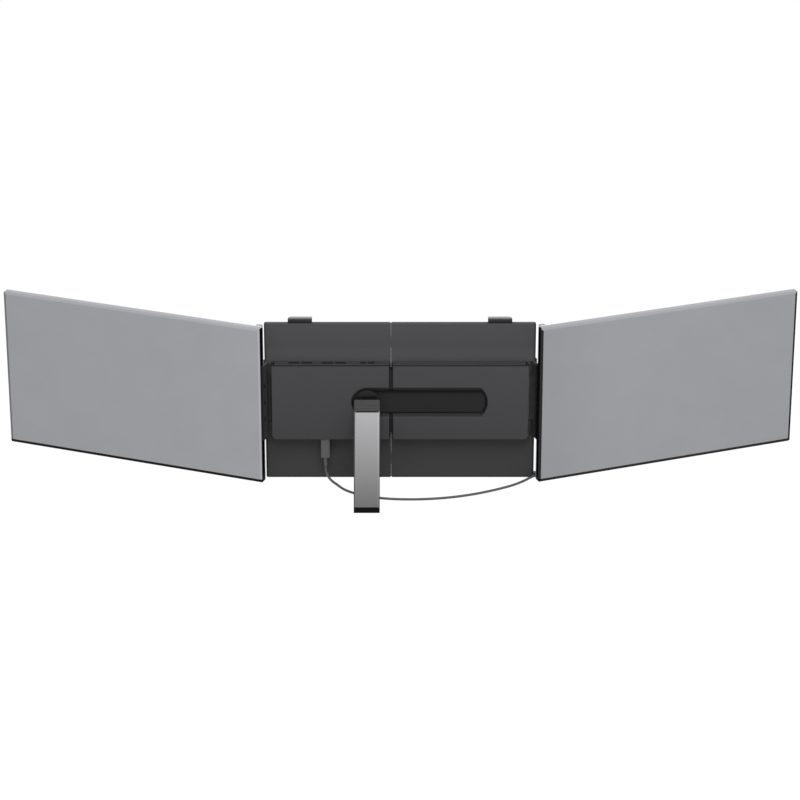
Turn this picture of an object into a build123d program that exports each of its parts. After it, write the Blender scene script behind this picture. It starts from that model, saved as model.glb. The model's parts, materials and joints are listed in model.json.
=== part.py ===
from build123d import *
import math
import os

# A laptop screen extender: a two-part bracket that hangs on a laptop's lid, a screen hinged at
# each side of it, and a swivelling leg behind.
# Frame: X to the right seen from behind, Y towards the user, Z up, millimetres.
# Origin: on the desk, under the middle of the bracket and in the middle of its thickness.

# ---- bracket panels ----
PANEL_W = 305.6
PANEL_H = 189.5
PANEL_T = 5.0
PANEL_SKIN = 1.2
PANEL_RIM = 1.6
PANEL_CORNER = 2.0
SEAM_CORNER = 1.8
SEAM_X = -10.2
SEAM_GAP = 0.1

# ---- hub: the raised box on the back of the panels ----
HUB_DEPTH = 12.5
HUB_END_INSET = 7.8
HUB_H = 91.8
HUB_RAISE = 3.55
HUB_WALL = 2.3
HUB_CORNER = 5.0
HUB_EDGE = 0.8
HUB_SEAM_GAP = 4.4
GROOVE_W = 0.8
GROOVE_DEPTH = 0.9
GROOVE_DROP = 0.9

# ---- trough in the hub, which clears fingers under the stowed leg ----
TROUGH_H = 36.9
TROUGH_RUN = 4.6
TROUGH_CORNER_X = 91.3
TROUGH_SAG = 8.3
TROUGH_FLOOR_SAG = 5.1

# ---- sleeve that carries the leg and bridges the two hub halves ----
SLEEVE_X0 = -56.0
SLEEVE_END_INSET = 3.0
SLEEVE_H = 76.0
SLEEVE_T = 1.5
SLEEVE_CLEAR = 0.2
SLEEVE_SETBACK = 0.6

# ---- telescoping slide ----
SLIDE_TRAVEL = 42.0
RAIL_STAY = 48.0
RAIL_H = 14.0
RAIL_T = 2.0
RAIL_FROM_EDGE = 23.0
RAIL_CLEAR = 0.15
GUIDE_H = 4.0

# ---- side screens ----
SCREEN_W = 322.2
SCREEN_H = 189.0
SCREEN_T = 8.5
SCREEN_START = -0.6
SCREEN_CORNER = 1.8
BEVEL_RUN = 3.0
BEVEL_DROP = 1.2
SHELL_WALL = 1.6
SHELL_BACK = 2.0
BEZEL_T = 1.4
BEZEL_HINGE_SIDE = 9.4
BEZEL_OUTER_SIDE = 3.4
BEZEL_TOP = 5.0
BEZEL_CHIN = 10.0
LCD_T = 3.0
LCD_MARGIN = 1.5
SCREEN_BOARD = (90.0, 1.2, 40.0)
SCREEN_BOARD_INSET = 4.0
SPINE_INSET = 2.6
SPINE_W = 6.4
SPINE_T = 5.6
SPINE_LIFT = 9.0
SPINE_EDGE = 0.6
REST_YAW = 21.2

# ---- screen hinges ----
HINGE_INSET = 2.6
LEFT_HINGE_Y = -0.5
RIGHT_HINGE_Y = 4.8
LEFT_OFFSET = 10.8
RIGHT_OFFSET = 14.6
KNUCKLE_R = 4.6
HINGE_PIN_R = 1.6
PIN_CLEAR = 0.05
HOUSING_INSET = 0.6
HOUSING_DEPTH = 6.5
HOUSING_FLANGE = 1.6
ARM_H = 58.0
ARM_T = 2.6
KNUCKLE_CLEAR = 0.3
NOTCH_CLEAR = 0.3
ARM_SCREW_R = 1.2
ARM_SCREW_HEAD_R = 2.2
ARM_SCREW_PITCH = 20.0

# ---- lid hooks ----
HOOK_X = 112.5
HOOK_W = 27.0
HOOK_TRAVEL = 30.0
HOOK_RISE = 3.9
HOOK_T = 1.6
HOOK_LIP_T = 1.4
HOOK_LIP_DROP = 3.0
HOOK_BACK = 2.4
HOOK_REAR_BEND = 2.3
HOOK_FRONT_BEND = 1.2
HOOK_PLAN_CORNER = 6.5
LINER_INSET = 3.0
LID_GAP = 5.3
LINER_T = 0.7
TONGUE_W = 22.0
TONGUE_T = 1.4
TONGUE_STAY = 32.0
TONGUE_CLEAR = 0.2
HOOK_GUIDE_W = 4.0
BRAKE_SIZE = (12.0, 8.0)
PAD_SIZE = (92.0, 104.0)
PAD_T = 0.8
PAD_CORNER = 6.0

# ---- leg ----
DISC_X = -37.2
DISC_R = 14.4
DISC_CLEAR = 1.0
DISC_T = 1.8
DISC_STEP = 1.2
DISC_FLOAT = 0.1
SPINDLE_R = 6.0
STUB_R = 3.0
WASHER_T = 0.9
RETAINER_R = 9.5
RETAINER_T = 2.0
LEG_W = 29.0
LEG_T = 6.0
LEG_SKIN = 1.2
LEG_FLANGE = 1.4
LEG_TILT = 41.0
LEG_OVER_HUB = 0.3
PIVOT_DROP = 10.2
SKIN_TOP_DROP = 1.7
BLOCK_TOP = 5.8
BLOCK_TOP_GAP = 1.0
BLOCK_PLATE_T = 1.9
BLOCK_CORNER = 2.0
BLOCK_EDGE = 0.5
BLOCK_CORE_W = 21.0
BLOCK_HOLLOW = 3.5
BLOCK_LOW_GAP = 0.3
TONGUE_R = 1.6
TONGUE_INSET = 0.4
LEG_PIN_R = 1.0
FOOT_CAP = 6.6
FOOT_PLUG = 8.0
FOOT_FIT = 0.05

# ---- keys in the hub's top wall ----
KEY_Y = -9.0
KEY_DEPTH = 3.0
KEY_PROUD = 0.3
KEY_TRAVEL = 0.5
KEY_CLEAR = 0.15
KEY_FLANGE = 1.0
KEY_FLANGE_OUT = 0.8
SWITCH_H = 1.3
LONG_KEY = 11.8
SHORT_KEY = 7.0
LONG_KEY_PITCH = 15.0
SHORT_KEY_PITCH = 8.7
LONG_PAIR_OFF = (-33.625, 4.675)
SHORT_PAIR_OFF = 41.675
KEY_BOARD_T = 1.2

# ---- electronics ----
BOARD_END_INSET = 6.0
BOARD_SLEEVE_GAP = 4.0
BOARD_RISE = 5.6
BOARD_H = 76.0
BOARD_T = 1.2
BOARD_Y = -8.5
STANDOFF_R = 2.5
STANDOFF_INSET = 5.0
SOCKET = (9.0, 3.3, 7.5)
SOCKET_BORE = (8.4, 2.6, 6.6)
SECOND_SOCKET_X = -64.9

# ---- lead from the left half round to the right half ----
PLUG_X = -84.9
PLUG = (10.2, 6.0, 23.5)
PLUG_TIP = (8.3, 2.4, 6.2)
PLUG_CORNER = 1.4
NECK_R0 = 2.3
NECK_R1 = 1.75
NECK_END_Z = 18.0
CORD_D = 2.8
ENTRY_LEN = 4.0
ENTRY_R = (2.0, 2.3)
ENTRY_BLOCK = (5.6, 5.4)

# ---- worked out from the sizes above ----
EDGE = PANEL_W / 2
BACK = -PANEL_T / 2
FRONT = PANEL_T / 2
HUB_END_X = EDGE - HUB_END_INSET
HUB_FACE = BACK - HUB_DEPTH
HUB_MID = PANEL_H / 2 + HUB_RAISE
HUB_LOW = HUB_MID - HUB_H / 2
HUB_HIGH = HUB_MID + HUB_H / 2
HINGE_X = EDGE - HINGE_INSET
HOUSING_LOW = HUB_LOW + HOUSING_INSET
HOUSING_HIGH = HUB_HIGH - HOUSING_INSET
SLEEVE_BACK = HUB_FACE + HUB_WALL + SLEEVE_SETBACK
SLEEVE_X1 = HUB_END_X - SLEEVE_END_INSET
RAIL_LENGTH = 2 * (SLIDE_TRAVEL + RAIL_STAY)
TONGUE_LEN = HOOK_TRAVEL + TONGUE_STAY
ACTIVE_W = SCREEN_W - BEZEL_HINGE_SIDE - BEZEL_OUTER_SIDE
ACTIVE_H = SCREEN_H - BEZEL_CHIN - BEZEL_TOP
BOARD_X = (BOARD_END_INSET - HUB_END_X, SLEEVE_X0 - BOARD_SLEEVE_GAP)
BOARD_Z = (HUB_LOW + BOARD_RISE, HUB_LOW + BOARD_RISE + BOARD_H)
PIVOT_Z = HUB_MID - PIVOT_DROP
PIVOT_Y = HUB_FACE - LEG_OVER_HUB - LEG_T / 2
SOCKET_Y = BOARD_Y - SOCKET[1] / 2
SEAM_R = SEAM_X + SEAM_GAP
HUB_SEAM_L = SEAM_X + SEAM_GAP / 2 - HUB_SEAM_GAP / 2
HUB_SEAM_R = HUB_SEAM_L + HUB_SEAM_GAP
KEYS_MID = (HUB_SEAM_L - HUB_END_X) / 2

# route of the lead: out of the neck, down to the desk, round behind the leg and back to the
# bracket's right edge
CORD_ROUTE = [
    (PLUG_X, SOCKET_Y, NECK_END_Z),
    (PLUG_X, SOCKET_Y, 11.6),
    (-82.1, -12.6, 5.2),
    (-77.5, -17.2, 1.5),
    (-71.5, -26.5, 1.45),
    (-62.5, -41.8, 1.45),
    (-44.0, -55.0, 1.45),
    (-18.0, -64.3, 1.45),
    (14.0, -66.6, 1.45),
    (48.0, -63.2, 1.45),
    (80.0, -54.0, 1.45),
    (107.0, -41.2, 1.45),
    (128.5, -28.2, 1.45),
    (EDGE - 11.8, -16.6, 1.45),
    (EDGE - 5.6, -9.2, 1.5),
    (EDGE - 1.6, -5.6, 1.9),
    (EDGE + 1.0, -3.6, 2.4),
]


def block(x, y, z):
    """A box between two corners, given as (low, high) pairs."""
    middle = [(a + b) / 2 for a, b in (x, y, z)]
    return Pos(*middle) * Box(x[1] - x[0], y[1] - y[0], z[1] - z[0])


def around(centre, size):
    """The (low, high) pair of a length centred on a place."""
    return (centre - size / 2, centre + size / 2)


def slab(outline, y):
    """An outline drawn in X and Z, given thickness between two depths."""
    return extrude(Plane.XZ.offset(-y[1]) * outline, y[1] - y[0])


def outline(x, z, left_r, right_r):
    """A rectangle whose left and right pairs of corners have their own radii."""
    shape = Pos(sum(x) / 2, sum(z) / 2) * Rectangle(x[1] - x[0], z[1] - z[0])
    shape = fillet(shape.vertices().group_by(Axis.X)[0], left_r)
    return fillet(shape.vertices().group_by(Axis.X)[-1], right_r)


def rod_y(centre, radius, y):
    """A round bar along Y."""
    x, z = centre
    return Pos(x, sum(y) / 2, z) * Rot(90, 0, 0) * Cylinder(radius, y[1] - y[0])


def rod_x(centre, radius, x):
    """A round bar along X."""
    y, z = centre
    return Pos(sum(x) / 2, y, z) * Rot(0, 90, 0) * Cylinder(radius, x[1] - x[0])


def rod_z(centre, radius, z):
    """A round bar along Z."""
    x, y = centre
    return Pos(x, y, sum(z) / 2) * Cylinder(radius, z[1] - z[0])


# ---- bracket halves ----
def half_span(side):
    """The span in X of one bracket half: side is -1 on the left, 1 on the right."""
    return (-PANEL_W / 2, SEAM_X) if side < 0 else (SEAM_R, PANEL_W / 2)


def half_outline(side):
    """One half seen from behind, with tight corners at the seam and a notch for the hinge."""
    corners = (PANEL_CORNER, SEAM_CORNER) if side < 0 else (SEAM_CORNER, PANEL_CORNER)
    shape = outline(half_span(side), (0, PANEL_H), *corners)
    notch_h = HOUSING_HIGH - HOUSING_LOW + 2 * NOTCH_CLEAR
    notch_w = PANEL_W / 2 - HUB_END_X + 1
    middle = (HOUSING_LOW + HOUSING_HIGH) / 2
    return shape - Pos(side * (HUB_END_X + notch_w / 2), middle) * Rectangle(notch_w, notch_h)


def rail_heights():
    """The middle heights of the lower and the upper rail."""
    return RAIL_FROM_EDGE, PANEL_H - RAIL_FROM_EDGE


def back_panel(side):
    """A tray: the rear skin with a rim, slotted at the seam for the rails and on top for the hook."""
    inner_y = (BACK + PANEL_SKIN, FRONT - PANEL_SKIN)
    shape = half_outline(side)
    pocket = offset(half_outline(side), -PANEL_RIM, kind=Kind.INTERSECTION)
    tray = slab(shape, (BACK, inner_y[1])) - slab(pocket, inner_y)
    seam = SEAM_X if side < 0 else SEAM_R
    for z in rail_heights():
        slot = around(z, RAIL_H + 2 * RAIL_CLEAR)
        tray -= block(around(seam, 2 * PANEL_RIM + 2), inner_y, slot)
    tongue_y = around(0, TONGUE_T + 2 * TONGUE_CLEAR)
    top = (PANEL_H - PANEL_RIM - 1, PANEL_H + 1)
    return tray - block(around(side * HOOK_X, TONGUE_W + 2 * TONGUE_CLEAR), tongue_y, top)


def front_panel(side):
    """The flat cover that closes the tray towards the laptop's lid."""
    return slab(half_outline(side), (FRONT - PANEL_SKIN, FRONT))


def lid_pad(side):
    """A soft pad that keeps the lid off the cover."""
    shape = Pos(side * PANEL_W / 4, PANEL_H / 2) * RectangleRounded(*PAD_SIZE, PAD_CORNER)
    return slab(shape, (FRONT, FRONT + PAD_T))


def trough_outline(inset, sag):
    """The trough seen from behind: round about the disc, a shallow arc at the far end."""
    half = TROUGH_H / 2 - inset
    corner, end = TROUGH_CORNER_X, TROUGH_CORNER_X + sag
    top, low = HUB_MID + half, HUB_MID - half
    edges = [
        Line((DISC_X, top), (corner, top)),
        ThreePointArc((corner, top), (end, HUB_MID), (corner, low)),
        Line((corner, low), (DISC_X, low)),
        ThreePointArc((DISC_X, low), (DISC_X - half, HUB_MID), (DISC_X, top)),
    ]
    return make_face(edges)


def trough():
    """The space of the trough, which narrows from the hub's face to the inside of its wall."""
    face = Plane.XZ.offset(-HUB_FACE) * trough_outline(0, TROUGH_SAG)
    floor = Plane.XZ.offset(-HUB_FACE - HUB_WALL) * trough_outline(TROUGH_RUN, TROUGH_FLOOR_SAG)
    return loft([face, floor])


def hub_cover(side):
    """A raised shell, open towards the panel and at the seam, with a groove under its top edge."""
    left, right = (-HUB_END_X, HUB_SEAM_L) if side < 0 else (HUB_SEAM_R, HUB_END_X)
    corners = (HUB_CORNER, 0.4) if side < 0 else (0.4, HUB_CORNER)
    shell = slab(outline((left, right), (HUB_LOW, HUB_HIGH), *corners), (HUB_FACE, BACK))
    seam = shell.faces().sort_by(Axis.X)[-1 if side < 0 else 0]
    rear = shell.faces().sort_by(Axis.Y)[0].edges()
    seam_x = seam.center().X
    rear = [e for e in rear if abs(e.center().X - seam_x) > 1]
    shell = fillet(rear, HUB_EDGE)
    inner_x = (left + HUB_WALL, right + 1) if side < 0 else (left - 1, right - HUB_WALL)
    inner_z = (HUB_LOW + HUB_WALL, HUB_HIGH - HUB_WALL)
    shell -= block(inner_x, (HUB_FACE + HUB_WALL, BACK + 1), inner_z)
    groove_z = (HUB_HIGH - GROOVE_DROP - GROOVE_W, HUB_HIGH - GROOVE_DROP)
    shell -= block((left - 1, right + 1), (HUB_FACE - 1, HUB_FACE + GROOVE_DEPTH), groove_z)
    return shell - trough()


def left_hub_cover():
    """The left shell, with the disc's opening, the keys' slots and the sockets' mouths."""
    bore = rod_y((DISC_X, HUB_MID), DISC_R + DISC_CLEAR, (HUB_FACE - 1, HUB_FACE + HUB_WALL + 1))
    shell = hub_cover(-1) - bore
    for x, length in key_places():
        top = (HUB_HIGH - HUB_WALL - 1, HUB_HIGH + 1)
        shell -= block(around(x, length + 2 * KEY_CLEAR), around(KEY_Y, KEY_DEPTH + 2 * KEY_CLEAR), top)
    for x in (PLUG_X, SECOND_SOCKET_X):
        mouth = Pos(x, SOCKET_Y) * RectangleRounded(SOCKET[0] + 0.4, SOCKET[1] + 0.4, SOCKET[1] / 2)
        shell -= Pos(0, 0, HUB_LOW - 1) * extrude(mouth, HUB_WALL + 2)
    return shell


def sleeve():
    """A channel fixed in the left hub and running inside the right one; its back is the trough's floor."""
    z = around(HUB_MID, SLEEVE_H)
    inner_z = (z[0] + SLEEVE_T, z[1] - SLEEVE_T)
    channel = block((SLEEVE_X0, SLEEVE_X1), (SLEEVE_BACK, BACK - SLEEVE_CLEAR), z)
    channel -= block((SLEEVE_X0 - 1, SLEEVE_X1 + 1), (SLEEVE_BACK + SLEEVE_T, BACK), inner_z)
    bore = (SLEEVE_BACK - 1, SLEEVE_BACK + SLEEVE_T + 1)
    return channel - rod_y((DISC_X, HUB_MID), SPINDLE_R + PIN_CLEAR, bore)


def rails():
    """Two steel tongues fixed in the right half, which run in the left one."""
    return Part() + [
        block(around(0, RAIL_LENGTH), around(0, RAIL_T), around(z, RAIL_H)) for z in rail_heights()
    ]


def rail_strips(x, clear):
    """A strip above and below each rail, between the two skins."""
    strips = []
    for z in rail_heights():
        for way in (-1, 1):
            middle = z + way * (RAIL_H / 2 + clear + GUIDE_H / 2)
            strips.append(block(x, around(0, PANEL_T - 2 * PANEL_SKIN), around(middle, GUIDE_H)))
    return Part() + strips


# ---- screen hinges ----
def hinge_place(side):
    """The hinge axis of one side, as its X and Y."""
    return side * HINGE_X, LEFT_HINGE_Y if side < 0 else RIGHT_HINGE_Y


def hinge_heights():
    """The spans in Z of the lower housing, the arm and the upper housing."""
    middle = (HOUSING_LOW + HOUSING_HIGH) / 2
    arm = around(middle, ARM_H)
    return (HOUSING_LOW, arm[0] - KNUCKLE_CLEAR), arm, (arm[1] + KNUCKLE_CLEAR, HOUSING_HIGH)


def hinge_housing(side):
    """Two fixed knuckles, each joined by a web to a flange on the hub's end."""
    x, y = hinge_place(side)
    inner = side * HUB_END_X
    rear, front = BACK - HOUSING_DEPTH, y + KNUCKLE_R
    web = Pos((inner + x) / 2, y) * Rectangle(abs(x - inner), 2 * KNUCKLE_R)
    flange_at = Pos(inner + side * HOUSING_FLANGE / 2, (rear + front) / 2)
    flange = flange_at * Rectangle(HOUSING_FLANGE, front - rear)
    profile = Pos(x, y) * Circle(KNUCKLE_R) + web + flange
    profile -= Pos(x, y) * Circle(HINGE_PIN_R + PIN_CLEAR)
    low, _, high = hinge_heights()
    return Part() + [Pos(0, 0, z[0]) * extrude(profile, z[1] - z[0]) for z in (low, high)]


def hinge_pin(side):
    """The pin through both fixed knuckles and the arm."""
    return rod_z(hinge_place(side), HINGE_PIN_R, (HOUSING_LOW, HOUSING_HIGH))


def arm_screw_heights():
    """The heights of the three screws that hold a screen to its arm."""
    middle = (HOUSING_LOW + HOUSING_HIGH) / 2
    return [middle + n * ARM_SCREW_PITCH for n in (-1, 0, 1)]


def hinge_arm(offset_y):
    """The moving knuckle, and a plate on the screen's side wall that is taller but clears the fixed ones."""
    back = -offset_y - SCREEN_T + BEVEL_DROP
    left = SCREEN_START - ARM_T
    _, z, _ = hinge_heights()
    arm = rod_z((0, 0), KNUCKLE_R, z) + block((left, SCREEN_START), (back, 0), z)
    arm -= rod_z((0, 0), HINGE_PIN_R + PIN_CLEAR, z)
    start = -KNUCKLE_R - KNUCKLE_CLEAR
    arm += block((left, SCREEN_START), (back, start), (HOUSING_LOW, HOUSING_HIGH))
    y = -offset_y - SCREEN_T / 2
    for height in arm_screw_heights():
        arm -= rod_x((y, height), ARM_SCREW_R + PIN_CLEAR, (left - 1, SCREEN_START + 1))
        arm -= rod_x((y, height), ARM_SCREW_HEAD_R + PIN_CLEAR, (left - 1, left + ARM_SCREW_R))
    return arm


def arm_screws(offset_y):
    """Flat-headed screws from the arm into the shell's side wall."""
    y = -offset_y - SCREEN_T / 2
    left = SCREEN_START - ARM_T
    screws = []
    for height in arm_screw_heights():
        shank = rod_x((y, height), ARM_SCREW_R, (left, SCREEN_START + SHELL_WALL))
        screws.append(shank + rod_x((y, height), ARM_SCREW_HEAD_R, (left, left + ARM_SCREW_R)))
    return Part() + screws


# ---- side screens, drawn flat with the hinge axis at the origin and the screen to the right ----
def screen_outline(inset):
    """The screen's outline in X and Z, drawn in by an inset all round."""
    size = (SCREEN_W - 2 * inset, SCREEN_H - 2 * inset)
    corner = max(SCREEN_CORNER - inset, SCREEN_CORNER / 4)
    return Pos(SCREEN_START + SCREEN_W / 2, SCREEN_H / 2) * RectangleRounded(*size, corner)


def screen_shell(offset_y):
    """The aluminium back: a tray whose rear edge is bevelled all round."""
    back = -offset_y - SCREEN_T
    rim = -offset_y - BEZEL_T
    rear = Plane.XZ.offset(-back) * screen_outline(BEVEL_RUN)
    foot = Plane.XZ.offset(-back - BEVEL_DROP) * screen_outline(0)
    shell = loft([rear, foot]) + slab(screen_outline(0), (back + BEVEL_DROP, rim))
    shell -= slab(screen_outline(SHELL_WALL), (back + SHELL_BACK, rim + 1))
    y = -offset_y - SCREEN_T / 2
    bore = (SCREEN_START - 1, SCREEN_START + SHELL_WALL + 1)
    for height in arm_screw_heights():
        shell -= rod_x((y, height), ARM_SCREW_R + PIN_CLEAR, bore)
    return shell


def window_centre():
    """The middle of the picture, beside the wider hinge side and above the deeper lower edge."""
    return SCREEN_START + BEZEL_HINGE_SIDE + ACTIVE_W / 2, BEZEL_CHIN + ACTIVE_H / 2


def screen_bezel(offset_y):
    """The front frame round the picture."""
    window = Pos(*window_centre()) * Rectangle(ACTIVE_W, ACTIVE_H)
    return slab(screen_outline(0) - window, (-offset_y - BEZEL_T, -offset_y))


def screen_lcd(offset_y):
    """The display panel, flat against the back of the frame."""
    size = (ACTIVE_W + 2 * LCD_MARGIN, ACTIVE_H + 2 * LCD_MARGIN)
    front = -offset_y - BEZEL_T
    return slab(Pos(*window_centre()) * Rectangle(*size), (front - LCD_T, front))


def screen_board(offset_y):
    """The driver board, on the back of the shell near the hinge."""
    back = -offset_y - SCREEN_T + SHELL_BACK
    start = SCREEN_START + SHELL_WALL + SCREEN_BOARD_INSET
    x = (start, start + SCREEN_BOARD[0])
    return block(x, (back, back + SCREEN_BOARD[1]), around(HUB_MID, SCREEN_BOARD[2]))


def screen_spine(offset_y):
    """A raised strip on the display side along the hinge, which ends above the lead on the desk."""
    start = SCREEN_START + SPINE_INSET
    y = (-offset_y, -offset_y + SPINE_T)
    strip = block((start, start + SPINE_W), y, (SPINE_LIFT, SCREEN_H))
    return fillet(strip.faces().sort_by(Axis.Y)[-1].edges(), SPINE_EDGE)


def place_screen(side, shape):
    """Turn a flat screen piece to its resting angle on its axis, mirrored if it is the left one."""
    if side < 0:
        shape = mirror(shape, Plane.YZ)
    return Pos(*hinge_place(side), 0) * Rot(0, 0, side * REST_YAW) * shape


# ---- lid hooks ----
def hook(side):
    """A bent plate over the lid's top edge, on a tongue that runs down inside the panel."""
    lip_in = FRONT + LID_GAP + LINER_T
    lip_out = lip_in + HOOK_LIP_T
    top = PANEL_H + HOOK_RISE
    points = [
        (-HOOK_BACK, PANEL_H),
        (-HOOK_BACK, top),
        (lip_out, top),
        (lip_out, PANEL_H - HOOK_LIP_DROP),
        (lip_in, PANEL_H - HOOK_LIP_DROP),
        (lip_in, top - HOOK_T),
        (TONGUE_T / 2, top - HOOK_T),
        (TONGUE_T / 2, PANEL_H),
    ]
    profile = make_face(Polyline(*points, close=True))
    for end, radius in ((0, HOOK_REAR_BEND), (-1, HOOK_FRONT_BEND)):
        roof = profile.vertices().group_by(Axis.Y)[-1]
        profile = fillet(roof.sort_by(Axis.X)[end], radius)
    start = side * HOOK_X - HOOK_W / 2
    plate = extrude(Plane.YZ.offset(start) * profile, HOOK_W)
    plate &= hook_plan(side, lip_out)
    tongue = (PANEL_H - TONGUE_LEN, PANEL_H + 0.5)
    return plate + block(around(side * HOOK_X, TONGUE_W), around(0, TONGUE_T), tongue)


def hook_plan(side, lip_out):
    """The space of a hook seen from above, whose outer front corner is rounded."""
    plan = Pos(side * HOOK_X, (lip_out - HOOK_BACK) / 2) * Rectangle(HOOK_W, lip_out + HOOK_BACK)
    outer = plan.vertices().group_by(Axis.X)[0 if side < 0 else -1]
    plan = fillet(outer.sort_by(Axis.Y)[-1], HOOK_PLAN_CORNER)
    low = PANEL_H - HOOK_LIP_DROP
    return Pos(0, 0, low) * extrude(plan, HOOK_LIP_DROP + HOOK_RISE)


def hook_liner(side):
    """A soft strip inside the hook's lip."""
    y = (FRONT + LID_GAP, FRONT + LID_GAP + LINER_T)
    z = (PANEL_H - HOOK_LIP_DROP, PANEL_H + HOOK_RISE - HOOK_T)
    return block(around(side * HOOK_X, HOOK_W - 2 * LINER_INSET), y, z)


def hook_guide(side):
    """Two strips between the skins, one each side of the tongue."""
    top = PANEL_H - PANEL_RIM
    z = (top - TONGUE_LEN, top)
    strips = []
    for way in (-1, 1):
        middle = side * HOOK_X + way * (TONGUE_W / 2 + TONGUE_CLEAR + HOOK_GUIDE_W / 2)
        strips.append(block(around(middle, HOOK_GUIDE_W), around(0, PANEL_T - 2 * PANEL_SKIN), z))
    return Part() + strips


def hook_brake(side):
    """A felt pad that drags on the tongue and holds the hook's height."""
    y = (TONGUE_T / 2 + PIN_CLEAR, FRONT - PANEL_SKIN)
    z = around(PANEL_H - PANEL_RIM - BRAKE_SIZE[1], BRAKE_SIZE[1])
    return block(around(side * HOOK_X, BRAKE_SIZE[0]), y, z)


# ---- leg ----
def leg_disc():
    """A turned disc, cut thinner behind the hinge block, with a stepped spindle through the sleeve."""
    front = SLEEVE_BACK - DISC_FLOAT
    centre = (DISC_X, HUB_MID)
    rear = front - DISC_T
    spindle_end = SLEEVE_BACK + SLEEVE_T + WASHER_T + DISC_FLOAT
    seat = (HUB_MID - 2 * DISC_R, HUB_MID + BLOCK_TOP + BLOCK_TOP_GAP)
    disc = rod_y(centre, DISC_R, (rear, front))
    disc -= block(around(DISC_X, 3 * DISC_R), (rear - 1, block_front()), seat)
    disc += rod_y(centre, SPINDLE_R, (front, spindle_end))
    return disc + rod_y(centre, STUB_R, (spindle_end, spindle_end + RETAINER_T))


def leg_washer():
    """The friction washer between the sleeve and the retainer."""
    start = SLEEVE_BACK + SLEEVE_T + DISC_FLOAT / 2
    y = (start, start + WASHER_T)
    return rod_y((DISC_X, HUB_MID), RETAINER_R, y) - rod_y((DISC_X, HUB_MID), SPINDLE_R + PIN_CLEAR, y)


def leg_retainer():
    """The ring on the end of the spindle."""
    start = SLEEVE_BACK + SLEEVE_T + WASHER_T + DISC_FLOAT
    y = (start, start + RETAINER_T)
    return rod_y((DISC_X, HUB_MID), RETAINER_R, y) - rod_y((DISC_X, HUB_MID), STUB_R, y)


def block_front():
    """The depth at which the hinge block sits on the thinner part of the disc."""
    return SLEEVE_BACK - DISC_FLOAT - DISC_T + DISC_STEP


def leg_block():
    """A round-cornered plate that a lower core holds off the disc, with a tongue down to the pivot."""
    rear = PIVOT_Y - LEG_T / 2
    low, top = PIVOT_Z + TONGUE_R + BLOCK_LOW_GAP, HUB_MID + BLOCK_TOP
    face = Pos(DISC_X, (low + top) / 2) * Rectangle(LEG_W, top - low)
    face = fillet(face.vertices().group_by(Axis.Y)[-1], BLOCK_CORNER)
    body = slab(face, (rear, rear + BLOCK_PLATE_T))
    body = chamfer(body.faces().sort_by(Axis.Y)[0].edges(), BLOCK_EDGE)
    core_y = (rear + BLOCK_PLATE_T, block_front())
    body += block(around(DISC_X, BLOCK_CORE_W), core_y, (low, top - BLOCK_HOLLOW))
    inner_w = LEG_W - 2 * LEG_FLANGE
    for way in (-1, 1):
        edge = sorted((DISC_X + way * (inner_w / 2 - TONGUE_INSET / 2), DISC_X + way * (LEG_W / 2 + 1)))
        body -= rod_x((PIVOT_Y, PIVOT_Z), LEG_T / 2 + KNUCKLE_CLEAR, edge)
    tongue_x = around(DISC_X, inner_w - 2 * TONGUE_INSET)
    body += block(tongue_x, around(PIVOT_Y, 2 * TONGUE_R), (PIVOT_Z, low))
    body += rod_x((PIVOT_Y, PIVOT_Z), TONGUE_R, tongue_x)
    return body - rod_x((PIVOT_Y, PIVOT_Z), LEG_PIN_R + PIN_CLEAR, around(DISC_X, LEG_W))


def leg_reach():
    """How far down the leg's rear face the desk lies, from the pivot."""
    tilt = math.radians(LEG_TILT)
    return (PIVOT_Z + LEG_T / 2 * math.sin(tilt)) / math.cos(tilt)


def place_leg(shape):
    """Tilt a leg piece drawn upright about the pivot, and set it there."""
    return Pos(DISC_X, PIVOT_Y, PIVOT_Z) * Rot(-LEG_TILT, 0, 0) * shape


def leg_channel():
    """A channel open towards the hub, with two round ears for the pin."""
    half, depth = LEG_W / 2, LEG_T / 2
    end = -(leg_reach() - FOOT_CAP)
    shape = block((-half, half), (-depth, LEG_SKIN - depth), (end, -SKIN_TOP_DROP))
    for way in (-1, 1):
        x = sorted((way * half, way * (half - LEG_FLANGE)))
        ear = block(x, (-depth, depth), (end, 0)) + rod_x((0, 0), depth, x)
        shape += ear - rod_x((0, 0), LEG_PIN_R + PIN_CLEAR, x)
    return place_leg(shape)


def leg_pin():
    """The pin through both ears and the block's tongue."""
    return rod_x((PIVOT_Y, PIVOT_Z), LEG_PIN_R, around(DISC_X, LEG_W))


def leg_foot():
    """A rubber end, plugged into the channel and cut flat to stand on the desk."""
    half, depth = LEG_W / 2, LEG_T / 2
    start = -(leg_reach() - FOOT_CAP)
    cap = block((-half, half), (-depth, depth), (-leg_reach() - LEG_T, start))
    plug_x = around(0, LEG_W - 2 * LEG_FLANGE - 2 * FOOT_FIT)
    cap += block(plug_x, (LEG_SKIN - depth + FOOT_FIT, depth - FOOT_FIT), (start, start + FOOT_PLUG))
    under_desk = block(around(DISC_X, 2 * LEG_W), (-2 * PANEL_H, 0), (-PANEL_H, 0))
    return place_leg(cap) - under_desk


# ---- keys ----
def key_places():
    """The middle and the length of each key, from left to right, about the middle of the left cover."""
    places = []
    for off in LONG_PAIR_OFF:
        places += [(KEYS_MID + off + way * LONG_KEY_PITCH / 2, LONG_KEY) for way in (-1, 1)]
    middle = KEYS_MID + SHORT_PAIR_OFF
    return places + [(middle + way * SHORT_KEY_PITCH / 2, SHORT_KEY) for way in (-1, 1)]


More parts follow.
